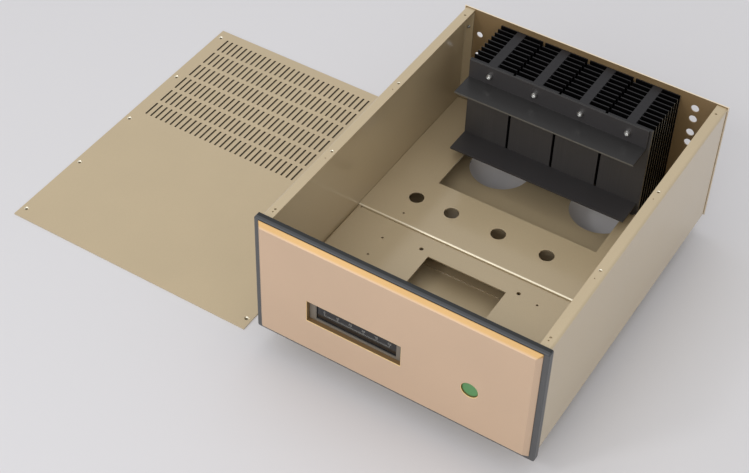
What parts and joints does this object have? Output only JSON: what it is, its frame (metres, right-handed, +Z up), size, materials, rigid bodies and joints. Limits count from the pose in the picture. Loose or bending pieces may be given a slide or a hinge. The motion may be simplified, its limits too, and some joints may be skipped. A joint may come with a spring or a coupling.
{
  "type": "sheet metal chassis",
  "caption": "Folded sheet metal amplifier chassis with thick bronze fascia, display window, push button, floor trays, finned heatsinks, rear panel and a vented cover lying beside it.",
  "frame": {"origin": "on the floor, midway between the four feet of the tub", "axes": "+X to the right seen from the front, +Y from the front to the back, +Z up"},
  "size_m": [0.91, 0.5753, 0.2515],
  "materials": {
    "champagne_paint": "semi-gloss metallic paint",
    "bronze_anodised": "satin anodised",
    "black_anodised": "semi-gloss black anodised",
    "heatsink_black": "satin black anodised extrusion",
    "smoked_lens": "polished smoked acrylic",
    "black_plastic": "moulded",
    "green_button": "translucent green, satin",
    "foot_rubber": "moulded",
    "zinc_steel": "zinc plated",
    "bright_steel": "bright plated"
  },
  "bodies": {
    "chassis": {"chassis_tub": "champagne_paint", "display_lens": "smoked_lens", "display_module": "black_plastic", "display_screws": "zinc_steel", "fascia": "bronze_anodised", "feet": "foot_rubber", "foot_screws": "zinc_steel", "front_deck": "champagne_paint", "front_panel_screws": "zinc_steel", "front_plate": "black_anodised", "heatsink_1": "heatsink_black", "heatsink_2": "heatsink_black", "heatsink_3": "heatsink_black", "heatsink_4": "heatsink_black", "lid": "champagne_paint", "lower_bracket": "black_anodised", "lower_bracket_screws": "bright_steel", "power_switch": "black_plastic", "rear_deck": "champagne_paint", "rear_panel": "champagne_paint", "rear_panel_screws": "zinc_steel", "upper_bracket": "black_anodised", "upper_bracket_screws": "bright_steel"},
    "button": {"power_button": "green_button"}
  },
  "joints": [
    {"name": "button_push", "type": "slide", "parent": "chassis", "child": "button", "axis": [0, 1, 0], "range_m": [0, 0.003], "stiffness_N_per_m": 500, "springref_m": -0.001}
  ]
}
